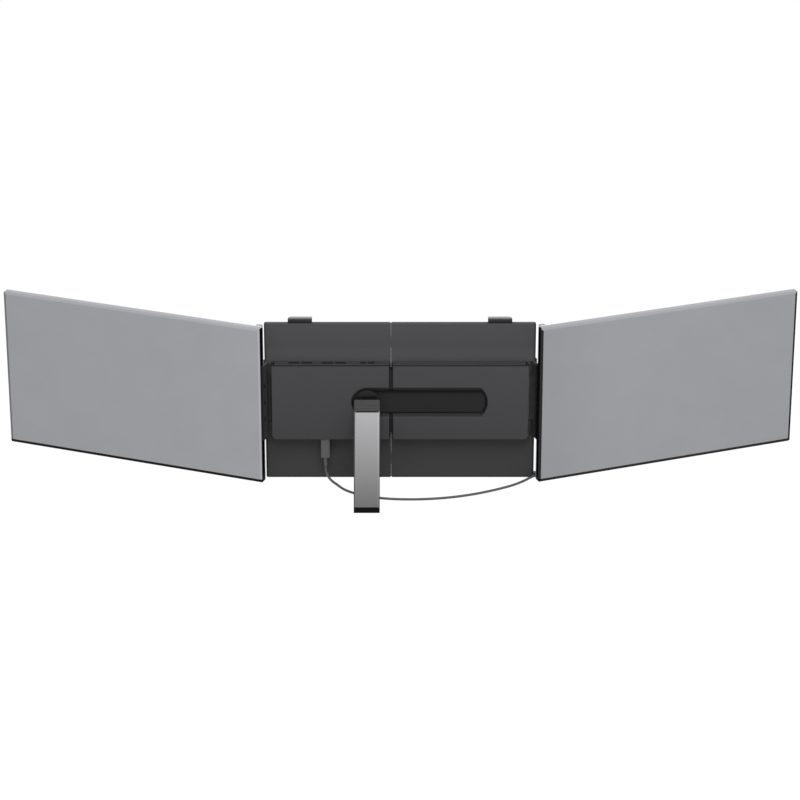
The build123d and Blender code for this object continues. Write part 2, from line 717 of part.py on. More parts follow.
def key(x, length):
    """A key with a flange that holds it under the hub's top wall."""
    inside = HUB_HIGH - HUB_WALL - PIN_CLEAR
    cap = block(around(x, length), around(KEY_Y, KEY_DEPTH), (inside - KEY_FLANGE, HUB_HIGH + KEY_PROUD))
    cap = chamfer(cap.faces().sort_by(Axis.Z)[-1].edges(), 0.25)
    out = 2 * KEY_FLANGE_OUT
    return cap + block(around(x, length + out), around(KEY_Y, KEY_DEPTH + out), (inside - KEY_FLANGE, inside))


def key_board():
    """The keys' board, on a shelf under them, with a switch below each."""
    top = HUB_HIGH - HUB_WALL - PIN_CLEAR - KEY_FLANGE - KEY_TRAVEL - PIN_CLEAR - SWITCH_H
    places = key_places()
    x = (places[0][0] - LONG_KEY, places[-1][0] + SHORT_KEY)
    board = block(x, (HUB_FACE + HUB_WALL, BACK), (top - KEY_BOARD_T, top))
    for place, _ in places:
        board += block(around(place, KEY_DEPTH * 1.5), around(KEY_Y, KEY_DEPTH), (top, top + SWITCH_H))
    return board


# ---- electronics ----
def main_board():
    """The main board on stand-offs from the panel, with its larger chips."""
    y = (BOARD_Y, BOARD_Y + BOARD_T)
    board = block(BOARD_X, y, BOARD_Z)
    middle_x, middle_z = sum(BOARD_X) / 2, sum(BOARD_Z) / 2
    chips = ((-22, 14, 14.0), (2, 16, 12.0), (24, 12, 9.0))
    for dx, dz, size in chips:
        board += block(around(middle_x + dx, size), (BOARD_Y - 1.2, BOARD_Y), around(middle_z + dz, size))
    for x in (BOARD_X[0] + STANDOFF_INSET, BOARD_X[1] - STANDOFF_INSET):
        for z in (BOARD_Z[0] + STANDOFF_INSET, BOARD_Z[1] - STANDOFF_INSET):
            board += rod_y((x, z), STANDOFF_R, (y[1], BACK))
    return board


def sockets():
    """The two sockets in the hub's lower wall, behind the board's lower edge."""
    low = HUB_LOW + 0.2
    shells = []
    for x in (PLUG_X, SECOND_SOCKET_X):
        outer = Pos(x, SOCKET_Y) * RectangleRounded(SOCKET[0], SOCKET[1], SOCKET[1] * 0.48)
        bore = Pos(x, SOCKET_Y) * RectangleRounded(SOCKET_BORE[0], SOCKET_BORE[1], SOCKET_BORE[1] * 0.48)
        shell = Pos(0, 0, low) * extrude(outer, SOCKET[2])
        shells.append(shell - Pos(0, 0, low - 1) * extrude(bore, SOCKET_BORE[2] + 1))
    return Part() + shells


# ---- lead ----
def lead_plug():
    """The plug's moulded body, with its flat tip up in the socket."""
    low = HUB_LOW - PLUG[2]
    section = RectangleRounded(PLUG[0], PLUG[1], PLUG_CORNER)
    body = Pos(PLUG_X, SOCKET_Y, low) * extrude(section, PLUG[2] - 0.1)
    tip = RectangleRounded(PLUG_TIP[0], PLUG_TIP[1], PLUG_TIP[1] * 0.48)
    return body + Pos(PLUG_X, SOCKET_Y, HUB_LOW - 0.1) * extrude(tip, PLUG_TIP[2])


def lead_neck():
    """The tapered neck between the plug and the lead."""
    top = HUB_LOW - PLUG[2]
    height = top - NECK_END_Z
    return Pos(PLUG_X, SOCKET_Y, NECK_END_Z + height / 2) * Cone(NECK_R1, NECK_R0, height)


def cord_radii():
    """Each arc's radius: 0.45 of its shorter run over the tangent of half the turn."""
    points = [Vector(*p) for p in CORD_ROUTE]
    radii = []
    for a, b, c in zip(points, points[1:], points[2:]):
        half_turn = math.radians((b - a).get_angle(c - b)) / 2
        radii.append(0.45 * min((b - a).length, (c - b).length) / math.tan(half_turn))
    return radii


def lead_cable():
    """The lead: straight runs joined by tangent arcs."""
    path = FilletPolyline(*CORD_ROUTE, radius=cord_radii())
    start = Plane(origin=path @ 0, z_dir=path % 0)
    cable = sweep(start * Circle(CORD_D / 2), path=path)
    solid = math.pi * CORD_D**2 / 4 * path.length
    print("lead: length", round(path.length, 2), "volume ratio", round(cable.volume / solid, 5))
    return cable


def lead_entry():
    """Where the lead goes into the right half: a low block on the panel's edge with a tapered sleeve."""
    end, before = Vector(*CORD_ROUTE[-1]), Vector(*CORD_ROUTE[-2])
    way = (end - before).normalized()
    cone = Plane(origin=end + way * (ENTRY_LEN / 2), z_dir=way) * Cone(ENTRY_R[0], ENTRY_R[1], ENTRY_LEN)
    panel = block((0, EDGE), (BACK, FRONT), (0, PANEL_H))
    width, height = ENTRY_BLOCK
    return block((EDGE, EDGE + width), (BACK, FRONT), (0, height)) + (cone - panel)


def nodes():
    """Every piece by the name of its node."""
    parts = {
        "inner_sleeve": sleeve(),
        "slide_rails": rails(),
        "left_rail_guides": rail_strips((-RAIL_LENGTH / 2, SEAM_X - PANEL_RIM), RAIL_CLEAR),
        "right_rail_clamps": rail_strips((SEAM_R + PANEL_RIM, RAIL_LENGTH / 2), 0),
        "left_hub_cover": left_hub_cover(),
        "right_hub_cover": hub_cover(1),
        "main_board": main_board(),
        "key_board": key_board(),
        "usb_sockets": sockets(),
        "leg_disc": leg_disc(),
        "leg_washer": leg_washer(),
        "leg_retainer": leg_retainer(),
        "leg_hinge_block": leg_block(),
        "leg_channel": leg_channel(),
        "leg_pin": leg_pin(),
        "leg_foot": leg_foot(),
        "lead_plug": lead_plug(),
        "lead_neck": lead_neck(),
        "lead_cable": lead_cable(),
        "lead_entry": lead_entry(),
    }
    for number, (x, length) in enumerate(key_places(), 1):
        parts[f"key_{number}"] = key(x, length)
    for side, name, offset_y in ((-1, "left", LEFT_OFFSET), (1, "right", RIGHT_OFFSET)):
        parts[f"{name}_back_panel"] = back_panel(side)
        parts[f"{name}_front_panel"] = front_panel(side)
        parts[f"{name}_lid_pad"] = lid_pad(side)
        parts[f"{name}_hinge_housing"] = hinge_housing(side)
        parts[f"{name}_hinge_pin"] = hinge_pin(side)
        parts[f"{name}_hinge_arm"] = place_screen(side, hinge_arm(offset_y))
        parts[f"{name}_arm_screws"] = place_screen(side, arm_screws(offset_y))
        parts[f"{name}_screen_shell"] = place_screen(side, screen_shell(offset_y))
        parts[f"{name}_screen_bezel"] = place_screen(side, screen_bezel(offset_y))
        parts[f"{name}_screen_lcd"] = place_screen(side, screen_lcd(offset_y))
        parts[f"{name}_screen_board"] = place_screen(side, screen_board(offset_y))
        parts[f"{name}_screen_spine"] = place_screen(side, screen_spine(offset_y))
        parts[f"{name}_hook"] = hook(side)
        parts[f"{name}_hook_liner"] = hook_liner(side)
        parts[f"{name}_hook_guide"] = hook_guide(side)
        parts[f"{name}_hook_brake"] = hook_brake(side)
    return parts


def main():
    os.makedirs("parts", exist_ok=True)
    for name, shape in nodes().items():
        export_step(shape, f"parts/{name}.step")
    print("lead: radii", [round(r, 1) for r in cord_radii()])


main()
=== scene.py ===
import json

import bpy
import numpy as np
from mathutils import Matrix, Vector


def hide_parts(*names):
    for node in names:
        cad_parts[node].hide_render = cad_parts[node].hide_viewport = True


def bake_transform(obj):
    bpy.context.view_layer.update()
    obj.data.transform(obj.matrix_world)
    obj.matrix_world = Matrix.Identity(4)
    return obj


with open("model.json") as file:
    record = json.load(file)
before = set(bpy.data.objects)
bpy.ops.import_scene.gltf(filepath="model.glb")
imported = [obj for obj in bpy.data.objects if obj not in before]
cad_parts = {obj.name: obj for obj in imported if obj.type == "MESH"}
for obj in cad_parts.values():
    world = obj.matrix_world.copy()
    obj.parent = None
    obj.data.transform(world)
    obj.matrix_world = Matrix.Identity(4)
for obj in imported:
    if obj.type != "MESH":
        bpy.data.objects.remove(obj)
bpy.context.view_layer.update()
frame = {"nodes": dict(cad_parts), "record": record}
MM = 0.001

# ---- view ----
CAMERA_AT = (0.0, -3.2593, 1.4936)
CAMERA_AIM = (0.0, -0.0025, 0.09604)
CAMERA_LENS = 140.7
SENSOR = 36.0
VIEW_DEPTH = 100

# ---- studio: seen straight on, the lit floor is white, and its glow leaves a faint shadow ----
WHITE = (1, 1, 1, 1)
FLOOR_SIZE = 14.0
FLOOR_DROP = 0.0004
PAPER = (0.55, 0.55, 0.55, 1)
FAINT_PAPER = (0.12, 0.12, 0.12, 1)
GLOW = 0.94
SKY = 0.388
SOFTBOX_AT = (0.1, -1.0, 2.0)
SOFTBOX_AIM = (0.0, 0.0, 0.1)
SOFTBOX_SIZE = 1.5
SOFTBOX_POWER = 32.4

# ---- lead: its route's points in mm, from the neck to the entry ----
CORD_D = 2.8 * MM
CORD_SIDES = 20
CORD_ROUTE = [
    (-84.9, -10.15, 18.0),
    (-84.9, -10.15, 11.6),
    (-82.1, -12.6, 5.2),
    (-77.5, -17.2, 1.5),
    (-71.5, -26.5, 1.45),
    (-62.5, -41.8, 1.45),
    (-44.0, -55.0, 1.45),
    (-18.0, -64.3, 1.45),
    (14.0, -66.6, 1.45),
    (48.0, -63.2, 1.45),
    (80.0, -54.0, 1.45),
    (107.0, -41.2, 1.45),
    (128.5, -28.2, 1.45),
    (141.0, -16.6, 1.45),
    (147.2, -9.2, 1.5),
    (151.2, -5.6, 1.9),
    (153.8, -3.6, 2.4),
]

# ---- colours ----
SILVER = (0.418, 0.423, 0.443)
LEG_SILVER = (0.2, 0.2, 0.205)
STEEL = (0.45, 0.45, 0.46)
PANEL_GREY = (0.081, 0.081, 0.085)
HUB_GREY = (0.064, 0.064, 0.0674)
SLEEVE_GREY = (0.0142, 0.0142, 0.0147)
DISC_GREY = (0.0193, 0.0193, 0.02)
BLOCK_GREY = (0.054, 0.054, 0.057)
ARM_GREY = (0.06, 0.06, 0.062)
HOUSING_GREY = (0.057, 0.057, 0.0588)
HOOK_GREY = (0.022, 0.022, 0.0228)
PLUG_GREY = (0.11, 0.11, 0.115)
LEAD_GREY = (0.088, 0.088, 0.092)
ENTRY_GREY = (0.06, 0.06, 0.062)
GUIDE_GREY = (0.04, 0.04, 0.04)
FELT_GREY = (0.03, 0.03, 0.03)
PAD_GREY = (0.03, 0.03, 0.031)
SCREW_BLACK = (0.02, 0.02, 0.02)
KEY_BLACK = (0.003, 0.003, 0.0032)
RUBBER_BLACK = (0.0042, 0.0042, 0.0045)
DISPLAY_BLACK = (0.006, 0.006, 0.008)
BOARD_GREEN = (0.008, 0.05, 0.022, 1)
TRACK_GREEN = (0.02, 0.11, 0.05, 1)

# ---- directions ----
UP = (0.0, 0.0, 1.0)
RIGHT = (1.0, 0.0, 0.0)
SCREEN_COS, SCREEN_SIN = 0.932, 0.362


# ---- camera ----
def place_camera():
    """The camera behind the extender, looking down on it a little."""
    camera = bpy.data.objects.new("camera", bpy.data.cameras.new("camera"))
    bpy.context.collection.objects.link(camera)
    camera.data.lens = CAMERA_LENS
    camera.data.sensor_width = SENSOR
    camera.data.clip_end = VIEW_DEPTH
    camera.location = CAMERA_AT
    camera.rotation_euler = aimed(CAMERA_AT, CAMERA_AIM)
    bpy.context.scene.camera = camera


def aimed(place, aim):
    """The turn of a camera or a lamp at a place that looks at an aim."""
    return (Vector(aim) - Vector(place)).to_track_quat("-Z", "Y").to_euler()


# ---- material tools ----
def new_tree(name):
    """An empty node material, and its tree."""
    material = bpy.data.materials.new(name)
    material.use_nodes = True
    material.node_tree.nodes.clear()
    return material, material.node_tree


def put(tree, kind, inputs=None, **settings):
    """Adds a node. inputs maps an input's name or number to a value or to another node's output."""
    made = tree.nodes.new("ShaderNode" + kind)
    for name, value in settings.items():
        setattr(made, name, value)
    for key, value in (inputs or {}).items():
        if isinstance(value, bpy.types.NodeSocket):
            tree.links.new(value, made.inputs[key])
        else:
            made.inputs[key].default_value = value
    return made


def close(tree, inputs):
    """Puts the shader and the output at the end of a material's tree, and gives the shader."""
    shader = put(tree, "BsdfPrincipled", inputs)
    put(tree, "OutputMaterial", {"Surface": shader.outputs["BSDF"]})
    return shader


def math(tree, operation, *values):
    """An operation on one or more numbers."""
    return put(tree, "Math", dict(enumerate(values)), operation=operation).outputs["Value"]


def times(tree, *values):
    """The product of several numbers."""
    made = values[0]
    for value in values[1:]:
        made = math(tree, "MULTIPLY", made, value)
    return made


def dot(tree, first, second):
    """The dot product of two vectors."""
    return put(tree, "VectorMath", {0: first, 1: second}, operation="DOT_PRODUCT").outputs["Value"]


def ramp(tree, value, start, end, low, high):
    """A number that goes from low to high while a value goes from start to end, and stays there."""
    inputs = {"Value": value, "From Min": start, "From Max": end, "To Min": low, "To Max": high}
    return put(tree, "MapRange", inputs).outputs["Result"]


def toned(tree, *pairs):
    """The product of several tones, each from a value and the four numbers of its ramp."""
    return times(tree, *[ramp(tree, value, *numbers) for value, numbers in pairs])


def blend(tree, share, tone):
    """From 1 to a tone, as a share goes from 0 to 1."""
    return put(tree, "MapRange", {"Value": share, "To Min": 1.0, "To Max": tone}).outputs["Result"]


def tint(tree, colour, amount):
    """A colour times a number that differs from place to place."""
    return put(tree, "VectorMath", {0: colour, "Scale": amount}, operation="SCALE").outputs["Vector"]


def bump(tree, height, depth):
    """A normal from a height that is depth mm from low to high."""
    return put(tree, "Bump", {"Height": height, "Distance": depth * MM}).outputs["Normal"]


def piece_point(tree):
    """A point of a piece, in metres, as the piece stands at rest."""
    return put(tree, "TexCoord").outputs["Object"]


def piece_place(tree):
    """The three coordinates of a piece's point."""
    parts = put(tree, "SeparateXYZ", {"Vector": piece_point(tree)}).outputs
    return parts["X"], parts["Y"], parts["Z"]


def facing(tree, way):
    """How far a surface faces a way, from -1 to 1, as the piece stands at rest."""
    return dot(tree, put(tree, "TexCoord").outputs["Normal"], way)


def stretched(tree, stretch=(1, 1, 1)):
    """A piece's points for a pattern that is stretched along an axis."""
    inputs = {"Vector": piece_point(tree), "Scale": stretch}
    return put(tree, "Mapping", inputs, vector_type="TEXTURE").outputs["Vector"]


def noise(tree, place, scale, detail=3.0):
    """Soft random values from 0 to 1, with scale features to the metre."""
    inputs = {"Vector": place, "Scale": scale, "Detail": detail, "Roughness": 0.55}
    return put(tree, "TexNoise", inputs).outputs["Fac"]


def spread(tree, value, low, high):
    """The middle of a random value spread over a range."""
    return ramp(tree, value, 0.3, 0.7, low, high)


# ---- finishes ----
BROAD_TO_FINE = 120
BOTH_SPAN = (0.7, 1.3)
ROUGH_SPAN = 0.05


def grained(name, colour, rough, grain=3000.0, depth=0.02, metal=0.0, mottle=0.03, specular=0.5, shade=None,
            stretch=(1, 1, 1)):
    """A finish with a fine grain: a broad and a fine mottle in the colour, a varied roughness, and relief.
    Where a painted shade makes the colour deeper, the gloss falls with it."""
    material, tree = new_tree(name)
    place = stretched(tree, stretch)
    fine = noise(tree, place, grain)
    broad = noise(tree, place, grain / BROAD_TO_FINE, 2.0)
    amount = ramp(tree, math(tree, "ADD", fine, broad), *BOTH_SPAN, 1 - mottle, 1 + mottle)
    # A shade paints light and shade into the colour.
    if shade:
        tone = shade(tree)
        amount = times(tree, amount, tone)
    shader = close(tree, {
        "Base Color": tint(tree, colour, amount),
        "Metallic": metal,
        "Roughness": spread(tree, fine, rough - ROUGH_SPAN, rough + ROUGH_SPAN),
        "Specular IOR Level": specular,
        "Normal": bump(tree, fine, depth),
    })
    if shade:
        falling = times(tree, math(tree, "MINIMUM", tone, 1.0), specular)
        tree.links.new(falling, shader.inputs["Specular IOR Level"])
    return material


# A tone's ramp is a start, an end, and the tones there. Starts and ends are metres along the axis that the
# name or the use gives, or how far a surface faces a way.

# ---- leg ----
# Painted light on the leg: shade towards the foot and along its edges, and a highlight line by the right
# edge.
LEG_SHADE_DOWN = (0.0, 0.085, 0.36, 1.0)
LEG_GLINT = (-0.0253, -0.0249, 1.0, 1.22)
LEG_FACE = (0.6, 0.8, 1.0, 0.0)
LEG_LEFT_EDGE = (-0.0509, -0.0504, 1.0, 0.0)
LEG_RIGHT_EDGE = (-0.0238, -0.0234, 0.0, 1.0)
LEG_LEFT_TONE = 0.25
LEG_RIGHT_TONE = 0.3


def leg_painted_light(tree):
    """The leg's painted light: full at its top, painted shade deeper towards the foot, thin dark painted
    shade on its edges, and a painted highlight beside the right one."""
    x, _, z = piece_place(tree)
    face = ramp(tree, math(tree, "ABSOLUTE", facing(tree, RIGHT)), *LEG_FACE)
    left = times(tree, ramp(tree, x, *LEG_LEFT_EDGE), face)
    right = times(tree, ramp(tree, x, *LEG_RIGHT_EDGE), face)
    return times(tree, ramp(tree, z, *LEG_SHADE_DOWN), blend(tree, left, LEG_LEFT_TONE),
                 blend(tree, right, LEG_RIGHT_TONE), ramp(tree, x, *LEG_GLINT))


# ---- screens' backs ----
# Painted light on each screen's back: the two sides take different painted highlights and shade, as light
# falls on them.
LEFT_SHELL = {
    "side": -1, "inner": 1.2, "outer": 0.48, "low": 0.03, "edge": 0.1399, "near": 1.0, "far": 0.98,
}
RIGHT_SHELL = {
    "side": 1, "inner": 0.08, "outer": 0.05, "low": 0.07, "edge": 0.1407, "near": 0.89, "far": 0.965,
}
BEVEL_FACING = (0.2, 0.34)
WALL_FACING = (0.5, 0.8)
HINGE_WALL_FACING = (-0.8, -0.6)
HINGE_WALL_SHADE = 0.03
END_WALL_TONE = 0.9
LOW_BEVEL_Z = (0.0036, 0.004)
TOP_BEVEL_Z = (0.1869, 0.1873)
TOP_PAINTED_HIGHLIGHT = 1.06
EDGE_STEP = 0.0004
BACK_SPAN = (0.02, 0.08)


def shell_painted_light(side, inner, outer, low, edge, near, far):
    """A screen's back with painted light: a painted highlight on the left screen's bevel by the hinge and
    painted shade on the right one's, painted shade on the bevels at the far end and below, and a painted
    highlight on top. The wall by the hinge is blackened with painted shade, up to edge metres out, and the
    back's painted shade goes from a tone near the hinge to one far from it."""
    def shade(tree):
        way = (side * SCREEN_COS, SCREEN_SIN, 0.0)
        out = facing(tree, way)
        along = dot(tree, piece_point(tree), way)
        _, _, z = piece_place(tree)
        start, end = BEVEL_FACING
        top = toned(tree, (facing(tree, UP), (start, end, 0.0, 1.0)), (z, (*TOP_BEVEL_Z, 0.0, 1.0)))
        return times(tree, toned(
            tree,
            (out, (-end, -start, inner, 1.0)),
            (out, (*HINGE_WALL_FACING, HINGE_WALL_SHADE, 1.0)),
            (out, (start, end, 1.0, outer)),
            (out, (*WALL_FACING, 1.0, END_WALL_TONE / outer)),
            (z, (*LOW_BEVEL_Z, low, 1.0)),
            (along, (edge, edge + EDGE_STEP, HINGE_WALL_SHADE, 1.0)),
            (along, (edge + BACK_SPAN[0], edge + BACK_SPAN[1], near, far)),
        ), blend(tree, top, TOP_PAINTED_HIGHLIGHT))
    return shade


# ---- displays' frames ----
# A painted highlight makes the frame's silver edge lighter on top; its black front is its own colour.
FRAME_FRONT = (0.3, 0.6, 1.0, 0.03)
FRAME_TOP_HIGHLIGHT = (0.6, 0.9, 1.0, 2.0)


def frame_tones_and_highlight(side):
    """A display's frame: black in front, with a silver edge that a painted highlight makes lightest on top.
    """
    def shade(tree):
        front = facing(tree, (-side * SCREEN_SIN, SCREEN_COS, 0.0))
        return toned(tree, (front, FRAME_FRONT), (facing(tree, UP), FRAME_TOP_HIGHLIGHT))
    return shade


# ---- hub ----
# Painted shade on the hub: towards its bottom, on faces that look down and up, in its groove and down the
# trough.
HUB_DOWN = (0.052, 0.144, 0.86, 1.0)
HUB_UNDERSIDE = (-0.9, -0.3, 0.4, 1.0)
HUB_TOP = (0.3, 0.8, 1.0, 0.69)
HUB_GROOVE = (0.14335, 0.0006)
HUB_GROOVE_TONE = 0.35
TROUGH_REACH = (0.098, 0.0195)
TROUGH_SUNK = (-0.0149, -0.0143, 0.0, 1.0)
TROUGH_TO_RIGHT = (0.1, 0.101, 1.0, 0.0)
TROUGH_FROM_LEFT = (-0.0585, -0.058, 0.0, 1.0)
TROUGH_WALL = (-0.0135, -0.0123, 0.5, 0.25)
TROUGH_RIGHT_END = (0.091, 0.0945, 1.0, 0.35)
TROUGH_LEFT_END = (-0.0535, -0.0525, 0.3, 1.0)


def hub_painted_shade(tree):
    """Painted shade on the hub's moulding: a touch deeper to the bottom, dark on the faces that look down and
    in the groove, a little dark on those that look up, and deeper down the trough's walls, most at its ends."""
    x, y, z = piece_place(tree)
    up = facing(tree, UP)
    level = math(tree, "COMPARE", z, *TROUGH_REACH)
    sunk = times(tree, ramp(tree, y, *TROUGH_SUNK), level,
                 toned(tree, (x, TROUGH_TO_RIGHT), (x, TROUGH_FROM_LEFT)))
    wall = toned(tree, (y, TROUGH_WALL), (x, TROUGH_RIGHT_END), (x, TROUGH_LEFT_END))
    groove = blend(tree, math(tree, "COMPARE", z, *HUB_GROOVE), HUB_GROOVE_TONE)
    return times(tree, toned(tree, (z, HUB_DOWN), (up, HUB_UNDERSIDE), (up, HUB_TOP)), groove,
                 blend(tree, sunk, wall))


# ---- panel ----
# Painted light on the panel: a shadow below the hub, light just over it and towards the top, shade at the
# foot and ends.
PANEL_SHADOW_BELOW_HUB = (0.04, 0.0524, 0.48, 0.405)
PANEL_ABOVE_HUB = (0.14, 0.144, 1.0, 2.18)
PANEL_BY_HUB = (0.144, 0.162, 1.42, 1.0)
PANEL_UPWARD = (0.144, 0.189, 1.0, 1.09)
PANEL_FOOT = (0.0, 0.003, 0.7, 1.0)
PANEL_ENDS = (0.1507, 0.1513, 1.0, 0.5)


def panel_painted_light(tree):
    """Painted light on the panel's moulding: full above the hub, lighter just over it and towards the top, a
    painted shadow below it, deeper at the foot, and painted shade along its ends.
    """
    x, _, z = piece_place(tree)
    off = math(tree, "ABSOLUTE", x)
    return toned(tree, (z, PANEL_SHADOW_BELOW_HUB), (z, PANEL_UPWARD), (z, PANEL_ABOVE_HUB), (z, PANEL_FOOT),
                 (z, PANEL_BY_HUB), (off, PANEL_ENDS))


# ---- sleeve ----
# Painted shade along the trough floor's borders, and painted light on the sleeve beyond them.
SLEEVE_LOW_BORDER = (0.0845, 0.0862, 0.25, 1.0)
SLEEVE_TOP_BORDER = (0.1065, 0.1115, 1.0, 0.35)
SLEEVE_BELOW = (0.0825, 0.0835, 3.2, 1.0)
SLEEVE_ABOVE = (0.1135, 0.1145, 1.0, 3.2)


def sleeve_painted_light(tree):
    """The trough's floor with painted light: painted shade, darkest along its border where the two covers lie
    over it, and painted light beyond.
    """
    _, _, z = piece_place(tree)
    return toned(tree, (z, SLEEVE_LOW_BORDER), (z, SLEEVE_TOP_BORDER), (z, SLEEVE_BELOW), (z, SLEEVE_ABOVE))


# ---- hooks, hinge block and hinges ----
# Painted highlight on the hooks' tops.
HOOK_ROOF = (0.7, 0.97, 1.0, 2.2)
HOOK_TO_LID = (0.0015, 0.006, 1.0, 8.8)
BLOCK_TOP_SHADE = (0.5, 0.9, 1.0, 0.05)
BLOCK_STREAKS = (60, 1, 1)
# Painted light on the hinges: lighter on the right and on top, a tone beside the hub, shade by the screens.
HINGE_TO_RIGHT = (-0.1, 0.1, 1.0, 1.25)
HINGE_BESIDE_HUB = (0.1455, 0.1495)
HINGE_BY_SCREEN = (0.152, 0.155, 1.0, 0.25)
HINGE_BY_RIGHT_SCREEN = (0.150, 0.155, 1.0, 0.2)
HINGE_TOP_HIGHLIGHT = (0.5, 0.9, 1.0, 1.6)
ARM_BESIDE_HUB = 2.0
HOUSING_BESIDE_HUB = 0.65


def hook_painted_highlight(tree):
    """A hook's plate: a painted highlight on top towards the lid, and dark over the bend and behind."""
    _, y, _ = piece_place(tree)
    return toned(tree, (facing(tree, UP), HOOK_ROOF), (y, HOOK_TO_LID))


# The block's streaks are its own; the black on its top is painted shade.
def block_streaks_and_shade(tree):
    """The hinge block: faint streaks across it, and painted shade, black, on top."""
    streaks = noise(tree, stretched(tree, BLOCK_STREAKS), 1200.0, 2.0)
    return times(tree, spread(tree, streaks, 0.85, 1.15), ramp(tree, facing(tree, UP), *BLOCK_TOP_SHADE))


def hinge_painted_light(beside):
    """The hinges with painted light: a painted tone beside the hub, a painted highlight on top, painted shade
    towards the screens' walls, and a lighter right side.
    """
    def shade(tree):
        x, _, _ = piece_place(tree)
        off = math(tree, "ABSOLUTE", x)
        return toned(tree, (x, HINGE_TO_RIGHT), (off, (*HINGE_BESIDE_HUB, beside, 1.0)),
                     (off, HINGE_BY_SCREEN), (x, HINGE_BY_RIGHT_SCREEN), (facing(tree, UP), HINGE_TOP_HIGHLIGHT))
    return shade


# ---- boards and displays ----
BOARD_CELLS = 420.0
TRACK_SPAN = (0.3, 0.5, 0.0, 1.0)
TRACK_RISE = 0.03
DISPLAY_GRAIN = 5000.0
DISPLAY_RELIEF = 0.004


def board_lacquer(name):
    """Green lacquer over tracks: tracks are the borders between cells of a square pattern."""
    material, tree = new_tree(name)
    place = stretched(tree)
    inputs = {"Vector": place, "Scale": BOARD_CELLS}
    cells = put(tree, "TexVoronoi", inputs, distance="MANHATTAN").outputs["Distance"]
    tracks = ramp(tree, cells, *TRACK_SPAN)
    colour = put(tree, "Mix", {0: tracks, 6: BOARD_GREEN, 7: TRACK_GREEN}, data_type="RGBA").outputs[2]
    close(tree, {
        "Base Color": colour,
        "Roughness": spread(tree, noise(tree, place, 900.0), 0.28, 0.42),
        "Normal": bump(tree, tracks, TRACK_RISE),
    })
    return material


def display_glass(name):
    """A display that is off: near black under a fine anti-glare grain, with a clear coat."""
    material, tree = new_tree(name)
    place = stretched(tree)
    grain = noise(tree, place, DISPLAY_GRAIN, 2.0)
    close(tree, {
        "Base Color": tint(tree, DISPLAY_BLACK, spread(tree, noise(tree, place, 25.0), 0.9, 1.1)),
        "Roughness": spread(tree, grain, 0.2, 0.3),
        "Specular IOR Level": 0.3,
        "Coat Weight": 0.2,
        "Coat Roughness": 0.12,
        "Normal": bump(tree, grain, DISPLAY_RELIEF),
    })
    return material


# ---- pieces and their finishes ----
BLASTED = {"rough": 0.42, "depth": 0.006, "metal": 0.25}
MOULDED = {"rough": 0.6, "depth": 0.012, "specular": 0.3}
SMOOTH = {"rough": 0.55, "depth": 0.01}
DULL = {"rough": 0.55, "depth": 0.01, "specular": 0.2}


def slot_finishes():
    """The finishes by the names of the record's slots."""
    return {
        "silver_shell": grained("blasted_silver", SILVER, **BLASTED),
        "dark_panel": grained("moulded_panel", PANEL_GREY, shade=panel_painted_light, **MOULDED),
        "dark_hub": grained("moulded_hub", HUB_GREY, shade=hub_painted_shade, **MOULDED),
        "dark_sleeve": grained("moulded_sleeve", SLEEVE_GREY, 0.6, depth=0.01, specular=0.2,
                               shade=sleeve_painted_light),
        "dark_disc": grained("painted_disc", DISC_GREY, **DULL),
        "dark_arm": grained("painted_arm", ARM_GREY, 0.5, depth=0.01, specular=0.2,
                            shade=hinge_painted_light(ARM_BESIDE_HUB)),
        "hook_plate": grained("painted_hook", HOOK_GREY, 0.45, depth=0.006, specular=0.05, shade=hook_painted_highlight),
        "key_cap": grained("moulded_key", KEY_BLACK, 0.5, depth=0.008, specular=0.06),
        "screen_glass": display_glass("display_off"),
        "steel": grained("drawn_steel", STEEL, 0.3, 1500.0, 0.005, 1.0, stretch=(12, 1, 1)),
        "screw_black": grained("blackened_screw", SCREW_BLACK, 0.35, depth=0.006, metal=0.7),
        "guide_plastic": grained("slick_guide", GUIDE_GREY, 0.4, depth=0.008),
        "felt": grained("pressed_felt", FELT_GREY, 0.95, 2200.0, 0.12, mottle=0.2),
        "soft_pad": grained("soft_pad", PAD_GREY, 0.85, 1800.0, 0.05, mottle=0.1),
        "foot_rubber": grained("foot_rubber", RUBBER_BLACK, 0.75, 1800.0, 0.03, mottle=0.1, specular=0.05),
        "board_green": board_lacquer("board_lacquer"),
        "lead_grey": grained("lead_jacket", PLUG_GREY, **SMOOTH),
        "lead_entry_grey": grained("entry_moulding", ENTRY_GREY, **SMOOTH),
    }


def own_finishes():
    """The finishes of single pieces, which differ from the rest of their slot."""
    housing = grained("moulded_housing", HOUSING_GREY, shade=hinge_painted_light(HOUSING_BESIDE_HUB), **DULL)
    return {
        "leg_channel": grained("brushed_leg", LEG_SILVER, 0.38, 2600.0, 0.006, 0.25, shade=leg_painted_light),
        "leg_hinge_block": grained("painted_block", BLOCK_GREY, 0.45, shade=block_streaks_and_shade),
        # The two screens' backs are copies of one silver, each with the painted light and shade of its own
        # side.
        "left_screen_shell": grained("left_silver", SILVER, shade=shell_painted_light(**LEFT_SHELL), **BLASTED),
        "right_screen_shell": grained("right_silver", SILVER, shade=shell_painted_light(**RIGHT_SHELL), **BLASTED),
        "left_screen_bezel": grained("left_frame", SILVER, 0.5, depth=0.01, shade=frame_tones_and_highlight(-1)),
        "right_screen_bezel": grained("right_frame", SILVER, 0.5, depth=0.01, shade=frame_tones_and_highlight(1)),
        "left_hinge_housing": housing,
        "right_hinge_housing": housing,
    }


def dress():
    """Gives each CAD piece its own finish, or that of its slot."""
    by_slot, by_node = slot_finishes(), own_finishes()
    for part in frame["record"]["subparts"]:
        material = by_node.get(part["node"]) or by_slot[part["material_slot"]]
        for place in frame["nodes"][part["node"]].material_slots:
            place.material = material


